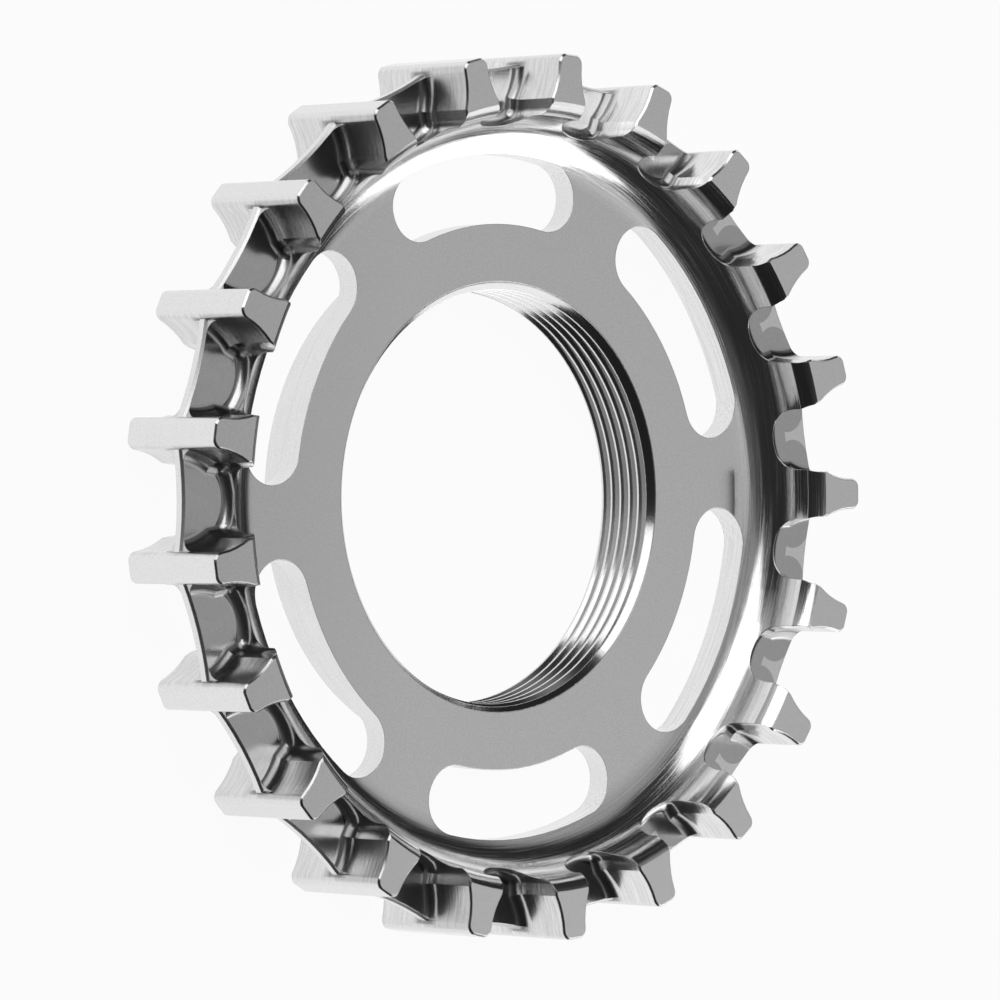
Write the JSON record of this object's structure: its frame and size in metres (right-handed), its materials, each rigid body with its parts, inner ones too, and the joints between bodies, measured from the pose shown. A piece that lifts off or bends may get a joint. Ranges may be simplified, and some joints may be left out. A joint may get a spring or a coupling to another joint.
{
  "type": "belt drive sprocket",
  "caption": "Rear belt sprocket for a bicycle: wide square-ended teeth with a centre flange between them, a web with kidney slots, and a threaded hub bore.",
  "frame": {"origin": "on the axis, in the rear face of the hub boss, which seats against the hub", "axes": "+Z along the axis and out of the front face, +X through the middle of one tooth"},
  "size_m": [0.0719, 0.072, 0.0117],
  "materials": {
    "stainless_steel": "fine satin faces with bright machined flanks and dish"
  },
  "bodies": {
    "root": {"sprocket": "stainless_steel"}
  },
  "joints": []
}
